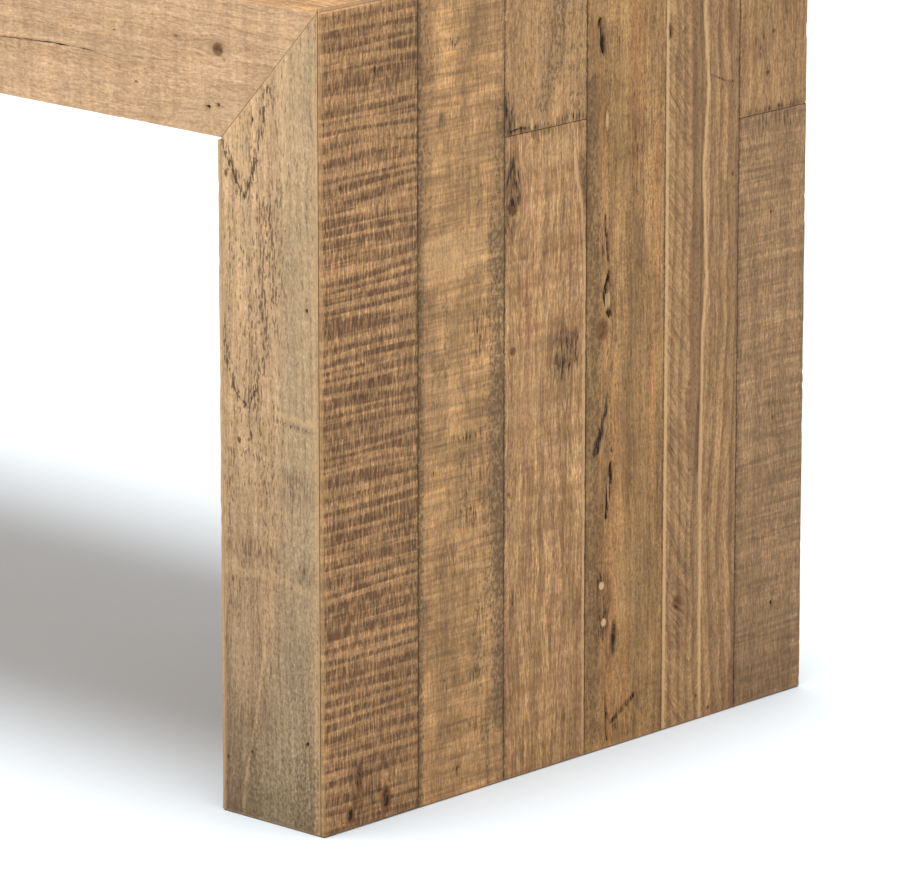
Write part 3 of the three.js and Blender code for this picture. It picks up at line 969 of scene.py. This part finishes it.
# Places are (height above the floor, distance from the plank's front edge).
RIGHT_END_MARKS = {
    "right_end_plank_1": (
        knot(43, 43, 14, 4, 0.9) + knot(18, 76, 12, 6, 0.9, 0.6) + knot(13, 32, 8, 5, 0.9)
        + stain(40, 50, 30, 30, 0.3) + dent(654, 65, 3.5, 2) + dent(560, 23, 2.5, 1.5)
        + stain(640, 92, 60, 24, 0.2) + grey_band([(700, 112), (0, 112)], 26, 0.3)
    ),
    "right_end_plank_2": (
        nail(25, 49, 1.4) + dent(448, 62, 2, 1.5) + dent(293, 18, 2.5, 2) + dent(662, 44, 4, 2.5)
        + grey(598, 29, 7, 4.5, 1.0) + dent(452, 98, 3, 1.5) + dent(480, 60, 3, 2)
        + grey_band([(700, 1), (350, 2), (0, 1)], 5, 0.9)
        + grey_band([(690, 8), (600, 10), (500, 7)], 12, 0.5) + grey_band([(660, 8), (660, 104)], 14, 0.4)
        + grey_band([(600, 106), (480, 97)], 12, 0.6)
        + grey_band([(490, 98), (400, 103), (310, 100), (180, 104), (60, 106)], 13, 0.95)
        + grey(330, 96, 60, 20, 0.6) + grey(180, 94, 50, 24, 0.6) + pale(480, 40, 24, 40, 0.45, 0.9)
        + stain(410, 76, 34, 16, 0.3) + stain(265, 70, 60, 26, 0.3) + pale(560, 60, 30, 40, 0.2, 0.9)
        + stain(318, 55, 6, 32, 0.3) + stain(105, 60, 7, 34, 0.35) + stain(60, 55, 8, 38, 0.3)
        + stain(210, 40, 22, 30, 0.28) + stain(150, 84, 26, 18, 0.28) + stain(530, 84, 40, 14, 0.2)
        + pale(360, 40, 40, 30, 0.22, 0.9) + pale(30, 70, 24, 26, 0.22, 0.9)
    ),
    "right_end_plank_3_upper": (
        grey_band([(136, 74), (60, 66), (22, 50)], 12, 0.7) + grey_band([(118, 86), (20, 90)], 16, 0.5)
        + grey_band([(100, 52), (44, 46)], 7, 0.5) + stain(16, 4, 22, 8, 0.8)
        + crack([(3, 4), (5, 20), (3.5, 30)], 1.2, 0.8, 0.7) + stain(3, 30, 3, 30, 0.5)
        + stain(4, 84, 5, 24, 0.45) + pale(6, 34.5, 5, 1.9, 0.9)
        + pale_line([(112, 42), (50, 40), (30, 44)], 2.4, 0.35)
    ),
    "right_end_plank_3_lower": (
        knot(508, 10, 7, 6, 0.3) + stain(530, 9, 26, 11, 0.62) + stain(516, 12, 10, 8, 0.62)
        + stain(490, 7, 12, 9, 0.35) + smear([(477, 0), (480, 30)], 1.3, 0.4) + knot(382, 11, 4, 4, 0.5)
        + dent(255, 6, 3, 2) + stain(370, 78, 24, 17, 0.6) + stain(376, 84, 16, 9, 0.6)
        + crack([(392, 74), (368, 76), (348, 75)], 1.0, 0.3, 0.5)
        + crack([(388, 82), (360, 84)], 1.0, 0.3, 0.5) + crack([(382, 90), (352, 91)], 0.9, 0.3, 0.45)
        + stain(157, 12, 26, 5, 0.4) + dent(72, 9, 4, 2.5) + pale(548, 60, 16, 48, 0.35, 0.7)
        + stain(568, 52, 4, 50, 0.3) + pale(478, 50, 8, 50, 0.25, 0.9) + stain(462, 40, 4, 44, 0.25)
        + pale(330, 30, 60, 22, 0.3, 0.9) + pale(240, 16, 80, 12, 0.3, 0.9)
        + pale_line([(559, 28), (543, 39), (524, 37), (504, 31), (489, 25)], 1.3, 0.55)
        + pale_line([(549, 46), (535, 49), (517, 46), (496, 45), (482, 43)], 1.2, 0.5)
        + pale_line([(552, 62), (533, 64), (511, 62), (488, 59)], 1.2, 0.45)
        + pale_line([(473, 10), (463, 17), (450, 25), (463, 34), (472, 40)], 1.2, 0.5)
        + pale_line([(540, 90), (522, 92), (499, 98), (481, 100), (442, 103), (300, 103),
                     (0, 103)], 1.8, 0.8) + grey_band([(540, 98), (500, 103)], 5, 0.8)
        + pale_line([(470, 3), (300, 2.5), (200, 3)], 1.6, 0.35)
    ),
    "right_end_plank_4": (
        crack([(657, 15.5), (642, 18.5), (625, 21)], 3.0, 2.6) + pale(640, 17.5, 10, 1.1, 0.6)
        + dent(635, 41, 3, 2.5) + stain(628, 44, 14, 8, 0.25) + rust(572, 24.5, 9, 2.6)
        + pale(566, 26, 9, 1.8, 0.7) + crack([(482, 24), (460, 26.6), (440, 28.5)], 1.4, 1.8, 0.8)
        + crack([(432, 30), (414, 25), (402, 27), (390, 31)], 2.8, 2.6) + pale(405, 29, 9, 1.9, 0.8)
        + stain(412, 30, 22, 6, 0.35) + stain(452, 22, 34, 7, 0.3) + knot(381, 21, 10, 8.5, 0.5)
        + stain(381, 21, 20, 12, 0.25) + smear([(322, 28), (306, 25)], 1.4, 0.7)
        + smear([(310, 26), (288, 19)], 2.6, 0.8) + smear([(290, 20), (271, 12)], 3.8, 0.95)
        + dent(271, 35, 3, 2) + crack([(260, 33), (240, 32), (210, 27)], 2.6, 1.8, 0.95)
        + pale(236, 31.5, 14, 1.0, 0.6) + stain(236, 28, 30, 8, 0.3) + pale(150, 21.6, 3.6, 3.4, 0.95)
        + pale(116, 24.6, 3.6, 3.4, 0.95) + stain(154, 21, 10, 7, 0.65) + stain(116, 23, 14, 8, 0.75)
        + stain(133, 26, 26, 10, 0.4) + knot(103, 38, 13, 4, 0.7) + stain(84, 33, 16, 7, 0.4)
        + crack([(22, 34), (30, 48), (42, 67)], 3.0, 1.0, 0.68)
        + crack([(52, 28), (28, 29), (6, 30)], 2.0, 1.0, 0.6)
        + grey_band([(600, 5), (430, 9), (240, 10), (20, 12)], 12, 0.75) + grey(560, 50, 60, 16, 0.5)
        + grey_band([(330, 62), (150, 66), (30, 62)], 24, 0.4) + stain(20, 52, 22, 30, 0.3)
        + rust(610, 12, 70, 7, 0.3) + stain(540, 66, 60, 12, 0.3) + pale(150, 60, 60, 22, 0.25, 0.9)
        + stain(420, 70, 60, 14, 0.25)
    ),
    "right_end_plank_5": (
        knot(632, 4, 8, 4.5, 1.0, 0.8) + dent(630, 24.6, 3, 2.4) + nail(22, 46, 1.2) + nail(8, 63, 1.0)
        + knot(114, 20, 7, 6, 0.55) + stain(92, 22, 20, 8, 0.35)
        + crack([(586, 58), (577, 80), (574, 93)], 0.7, 0.5, 0.55) + dent(498, 2.5, 4, 2)
        + dent(492, 90, 2.5, 2)
        # A ridge drawn only in colour: the pale line on its crest is a painted highlight, and the dark smear
        # and the grey band on its front-edge side are painted shade.
        + pale_line([(651, 50), (604, 54.5), (578, 57), (505, 51), (401, 56), (357, 51.5), (230, 49),
                     (0, 51)], 1.9, 1.0)
        + smear([(651, 47), (604, 51.5), (578, 54), (505, 48), (401, 53), (357, 48.5), (230, 46)], 1.6, 0.4)
        + grey_band([(660, 40), (500, 41), (380, 43), (230, 40)], 8, 0.5)
        + pale_line([(660, 2), (400, 2.5), (0, 2)], 2.2, 0.9)
        + pale_line([(660, 103), (300, 103), (0, 103)], 1.6, 0.9) + stain(268, 9, 22, 8, 0.35)
        + grey_band([(640, 92), (0, 94)], 6, 0.4)
    ),
    "right_end_plank_6_upper": (
        nail(72, 46, 1.6) + nail(36, 38, 1.6) + stain(60, 29, 16, 14, 0.35) + stain(100, 60, 40, 10, 0.3)
        + stain(3, 50, 3, 50, 0.4)
    ),
    "right_end_plank_6_lower": (
        nail(449, 45, 1.3) + nail(260, 50, 1.2) + nail(88, 50, 1.0) + stain(530, 46, 10, 44, 0.35)
        + stain(270, 50, 30, 12, 0.25) + stain(30, 50, 26, 40, 0.25)
    ),
}

# Places are (height above the floor, distance from the leg's inner edge).
FRONT_LEG_MARKS = (
    flecks([(590, 0), (572, 10), (552, 20), (542, 28)], 4, 0.8)
    + flecks([(640, 56), (600, 47), (566, 38), (545, 30)], 4, 0.65)
    + flecks([(430, 0), (392, 8), (372, 16), (361, 30)], 3.5, 0.7)
    + flecks([(455, 52), (425, 49), (392, 46), (364, 34)], 5, 0.55)
    + flecks([(540, 58), (500, 60), (440, 54)], 14, 0.45)
    + crack([(574, 9), (552, 20), (542, 28), (556, 34), (566, 38)], 0.7, 0.2, 0.5)
    + crack([(392, 8), (372, 16), (361, 30), (380, 40)], 0.7, 0.2, 0.5)
    + [Spot(FLECK, 480, 44, 50, 22, 0.35, 0.9), Spot(FLECK, 320, 40, 40, 24, 0.25, 0.9)]
    + pale(600, 22, 50, 15, 0.25, 0.5) + pale(412, 20, 40, 14, 0.22, 0.5) + rust(600, 24, 46, 15, 0.12)
    + rust(410, 22, 46, 14, 0.12) + nail(610, 37, 1.3) + knot(560, 6, 3.4, 1.8, 0.55)
    + stain(534, 56, 9, 12, 0.3) + nail(456, 99, 1.3) + dent(339, 33, 3, 1.5) + dent(331, 20, 3, 1.5)
    + nail(49, 3, 1.2) + nail(59, 32, 1.2) + nail(79, 98, 1.3) + smear([(356, 54), (352, 106)], 1.8, 0.4)
    + stain(300, 88, 20, 24, 0.3) + stain(238, 28, 11, 44, 0.3) + stain(207, 8, 8, 12, 0.3)
    + stain(227, 97, 11, 15, 0.32) + grey(400, 92, 36, 18, 0.5)
    + grey_band([(660, 100), (500, 92), (380, 88), (250, 96), (160, 84), (100, 76), (40, 66),
                 (0, 62)], 30, 0.75, 0.8)
    + pale_line([(260, 50), (208, 58), (128, 43.5), (97, 39), (31, 24), (0, 21)], 2.0, 0.36)
    + pale_line([(214, 0), (219, 60), (210, 108)], 4.5, 0.35) + pale_line([(363, 50), (359, 106)], 3, 0.5)
    + pale_line([(660, 109), (300, 109), (0, 109)], 3.5, 0.4) + grey(30, 84, 50, 34, 0.5)
    + grey(84, 54, 40, 16, 0.6) + stain(92, 52, 30, 13, 0.24) + stain(190, 8, 24, 10, 0.25)
    + stain(150, 80, 34, 22, 0.2) + stain(16, 50, 18, 50, 0.2)
)


def on_rail(marks):
    """Turn places (distance in from the table's right end, depth below the top) into the rail's own."""
    right_end = RAIL_HIGH[0] - RAIL_LOW[0] + BOARD_OUTER
    for mark in marks:
        if isinstance(mark, Spot):
            mark.u = right_end - mark.u
        else:
            mark.points[:, 0] = right_end - mark.points[:, 0]
    return marks


FRONT_RAIL_MARKS = on_rail(
    knot(120, 47, 6.5, 6, 0.5) + rust(123, 46, 14, 11, 0.35) + dent(113.5, 54, 2.5, 2.5)
    + stain(142, 50, 22, 9, 0.2) + nail(131, 97, 1.2) + nail(120, 94, 1.2)
    + crack([(382, 71), (355, 69.5), (320, 68), (266, 68)], 0.6, 0.6, 0.7)
    + smear([(266, 68), (210, 66), (168, 63)], 0.6, 0.35) + smear([(400, 53), (328, 52)], 0.7, 0.3)
    + dent(262, 44, 2.5, 1.4) + dent(243, 47, 2, 1.4) + dent(170, 42, 2.5, 1.4) + dent(204, 78, 2.5, 1.4)
    + dent(217, 88, 2.5, 1.2) + knot(700, 60, 8, 7, 0.4) + nail(760, 30, 1.3) + nail(764, 92, 1.3)
    + knot(1180, 88, 7, 6, 0.6) + knot(1430, 34, 9, 7, 0.3) + nail(1340, 60, 1.4)
    + stain(1000, 90, 60, 12, 0.2) + crack([(930, 24), (890, 26), (850, 25)], 0.5, 0.8, 0.6)
)

# ------------------------------------------------------------------ the boards

PHOTO_STEP = 2.8  # mesh spacing on the boards that show nearest
RAIL_STEP = 4.0
HIDDEN_STEP = 8.0
UPRIGHT_SUNK = 0.35  # the most that a plank lies behind its row's face
TOP_SUNK = 0.4
FACES = {"front": -1, "back": 1}  # which way each faces along y
ENDS = {"right": 1, "left": -1}
LOOKS = {
    "pine_russet": RUSSET,
    "pine_golden": GOLDEN,
    "pine_tan": TAN,
    "pine_umber": UMBER,
    "pine_wavy": WAVY,
    "pine_grey": GREY_BROWN,
    "pine_fascia": PALE_UPRIGHT,
}
SPECIAL_LOOKS = {
    "right_end_plank_3_upper": SMOKY_TAN,
    "right_end_plank_6_upper": SMOKY_GREY,
    "right_knee_plank_1": PALE_UPRIGHT,
}
boards = []


def row_of(name):
    return int(name.split("_plank_")[1].split("_")[0])


def planks_of(prefix):
    return sorted(name for name in frame["nodes"] if name.startswith(prefix))


def look_of(name):
    return SPECIAL_LOOKS.get(name, LOOKS[SLOT_OF[name]])


def next_seed():
    return 100 * (len(boards) + 1)


def add_uprights(prefix, axes, step, head_arris, front_is_low, marks):
    """Rows of upright planks. The first and the last have a lip beside the fascia boards."""
    names = planks_of(prefix)
    last_row = max(row_of(name) for name in names)
    for name in names:
        front = "lip" if row_of(name) == 1 else "seam"
        back = "lip" if row_of(name) == last_row else "seam"
        low_edge, high_edge = (front, back) if front_is_low else (back, front)
        foot = BUTT_ARRIS if name.endswith("_upper") else FOOT_ARRIS
        head = BUTT_ARRIS if name.endswith("_lower") else head_arris
        sunk = UPRIGHT_SUNK * np.random.default_rng(len(boards) + 7).random()
        boards.append(Board(name, axes, look_of(name), low_edge, high_edge, marks=marks.get(name), step=step,
                            end_arrises=(foot, head), sunk=sunk, seed=next_seed()))


def behind_corner(from_face):
    """How far in from the end face a piece of the top starts, beside the corner planks' slanted edges."""
    return np.minimum(PLANK + GLUE_LINE, LIP + SLANTED_GAP + from_face)


def add_top_plank(name):
    """A plank of the top. The first and the last run out beside the end planks' slants, in small nibs."""
    low, high = node_box(name)
    first = row_of(name) == 1
    last = row_of(name) == max(row_of(other) for other in planks_of("top_plank"))

    def nib(v, w):
        from_face = high[1] + FACE_Y - v if first else v + FACE_Y - high[1]
        return behind_corner(from_face) - (low[0] + END_X)

    end = nib if first or last else square_end
    edges = ("under" if last else "seam", "under" if first else "seam")
    seed = next_seed()
    sunk = TOP_SUNK * np.random.default_rng(seed + 7).random()
    boards.append(Board(name, "+x -y -z", look_of(name), *edges, end, end, sunk=sunk, seed=seed))


def add_leg_fascia(side, face_name):
    """An upright board of the mitred frame, cut at the top along the mitre."""
    face = FACES[face_name]

    def mitre(v, w):
        inset = BOARD_INNER - v if ENDS[side] * face < 0 else BOARD_OUTER + v
        return MITRE_SLOPE * (inset - BOARD_OUTER)

    shown = side == "right" and face < 0
    boards.append(Board(
        f"{side}_leg_fascia_{face_name}", "+z +x +y" if face < 0 else "+z -x -y", PALE_UPRIGHT,
        "mitre", "mitre", stop=mitre, marks=FRONT_LEG_MARKS if shown else None,
        step=PHOTO_STEP if shown else FACE_STEP, end_arrises=(FOOT_ARRIS, TIGHT_ARRIS), seed=next_seed(),
    ))


def add_rail_fascia(face_name):
    """A long board of the mitred frame, cut at both ends along the mitres."""
    shown = FACES[face_name] < 0

    def mitre(v, w):
        depth = v if shown else SLAB - v
        return np.maximum(depth / MITRE_SLOPE, behind_corner(w) - BOARD_OUTER)

    boards.append(Board(
        f"top_fascia_{face_name}", "+x -z +y" if shown else "+x +z -y", PALE_RAIL,
        *(("mitre", "open") if shown else ("open", "mitre")), mitre, mitre,
        FRONT_RAIL_MARKS if shown else None, RAIL_STEP if shown else FACE_STEP,
        end_arrises=(TIGHT_ARRIS, TIGHT_ARRIS), seed=next_seed(),
    ))


add_uprights("right_end_plank", "+z +y -x", PHOTO_STEP, OPEN_ARRIS, True, RIGHT_END_MARKS)
add_uprights("left_end_plank", "+z -y +x", FACE_STEP, OPEN_ARRIS, False, {})
add_uprights("right_knee_plank", "+z -y +x", HIDDEN_STEP, SEAM_ARRIS, False, {})
add_uprights("left_knee_plank", "+z +y -x", HIDDEN_STEP, SEAM_ARRIS, True, {})
for name in planks_of("top_plank"):
    add_top_plank(name)
for name in planks_of("soffit_plank"):
    boards.append(Board(name, "+x +y +z", look_of(name), step=HIDDEN_STEP, seed=next_seed()))
for side in ENDS:
    for face_name in FACES:
        add_leg_fascia(side, face_name)
for face_name in FACES:
    add_rail_fascia(face_name)
for board in boards:
    board.build()

# ------------------------------------------------------------------ the core, as packed


def core_timber():
    """Plain sawn softwood for the CAD pieces of the core, whose grain follows their own places."""
    nodes = Nodes("core_timber")
    place = nodes.field("ShaderNodeTexCoord", {}, (), "Object")
    rings = place.noise(30, 6, 3.0)
    fibre = place.noise(9, 2, 3.0)
    colour = nodes.mix(tone(212, 178, 132), tone(170, 126, 80), rings.step(0.4, 0.7))
    colour = nodes.scale(colour, fibre.around_one(0.3))
    nodes.wood_shader(colour, fibre.step(0.2, 0.8, 0.6, 0.85), fibre, bump=0.5)
    return nodes.material


core_material = core_timber()
for name, slot in SLOT_OF.items():
    if slot == "core_timber":
        materials = frame["nodes"][name].data.materials
        materials.clear()
        materials.append(core_material)

# ------------------------------------------------------------------ floor, light and camera

FLOOR_HALF = 300.0  # metres
FLOOR_DROP = 0.0004
FLOOR_COLOUR = (0.777, 0.834, 0.877, 1)
SKY_LIGHT = 0.77
OVERHEAD_LIGHT = 2.75
OVERHEAD_SPREAD = 32  # degrees
OVERHEAD_AIM = (0.02, 0.05, -1.0)
LENS = 291.7
CAMERA_OFFSET = (5.73, -5.97, 2.62)  # from the right leg's near corner, in heights of the table
CAMERA_TILT = 75.5  # degrees
CAMERA_TURN = 42.8


def add_object(name, data):
    thing = bpy.data.objects.new(name, data)
    bpy.context.scene.collection.objects.link(thing)
    return thing


def add_floor():
    mesh = bpy.data.meshes.new("floor")
    square = ((-1, -1), (1, -1), (1, 1), (-1, 1))
    corners = [(x * FLOOR_HALF, y * FLOOR_HALF, -FLOOR_DROP) for x, y in square]
    mesh.from_pydata(corners, [], [(0, 1, 2, 3)])
    nodes = Nodes("floor_paint")
    nodes.output("ShaderNodeBsdfDiffuse", {"Color": FLOOR_COLOUR})
    mesh.materials.append(nodes.material)
    add_object("floor", mesh)


def add_light():
    """An even white studio under a broad overhead light."""
    world = bpy.data.worlds.new("studio")
    world.use_nodes = True
    tree = world.node_tree
    background = tree.nodes["Background"]
    background.inputs["Color"].default_value = (1, 1, 1, 1)
    seen = tree.nodes.new("ShaderNodeLightPath").outputs["Is Camera Ray"]
    strength = tree.nodes.new("ShaderNodeMapRange")
    strength.inputs["To Min"].default_value = SKY_LIGHT
    tree.links.new(seen, strength.inputs["Value"])
    tree.links.new(strength.outputs[0], background.inputs["Strength"])
    bpy.context.scene.world = world
    sun = bpy.data.lights.new("key", "SUN")
    sun.energy = OVERHEAD_LIGHT
    sun.angle = math.radians(OVERHEAD_SPREAD)
    key = add_object("key", sun)
    key.rotation_euler = Vector(OVERHEAD_AIM).to_track_quat("-Z", "Y").to_euler()


def add_camera():
    """The photograph's view: a long lens that looks down on the right leg's near corner."""
    data = bpy.data.cameras.new("camera")
    data.sensor_width = 36
    data.lens = LENS
    data.clip_end = 1000
    camera = add_object("camera", data)
    camera.location = (Vector((END_X, -FACE_Y, 0)) + Vector(CAMERA_OFFSET) * HEIGHT) * MM
    camera.rotation_euler = (math.radians(CAMERA_TILT), 0, math.radians(CAMERA_TURN))
    bpy.context.scene.camera = camera


add_floor()
add_light()
add_camera()
bpy.context.scene.view_settings.view_transform = "Standard"
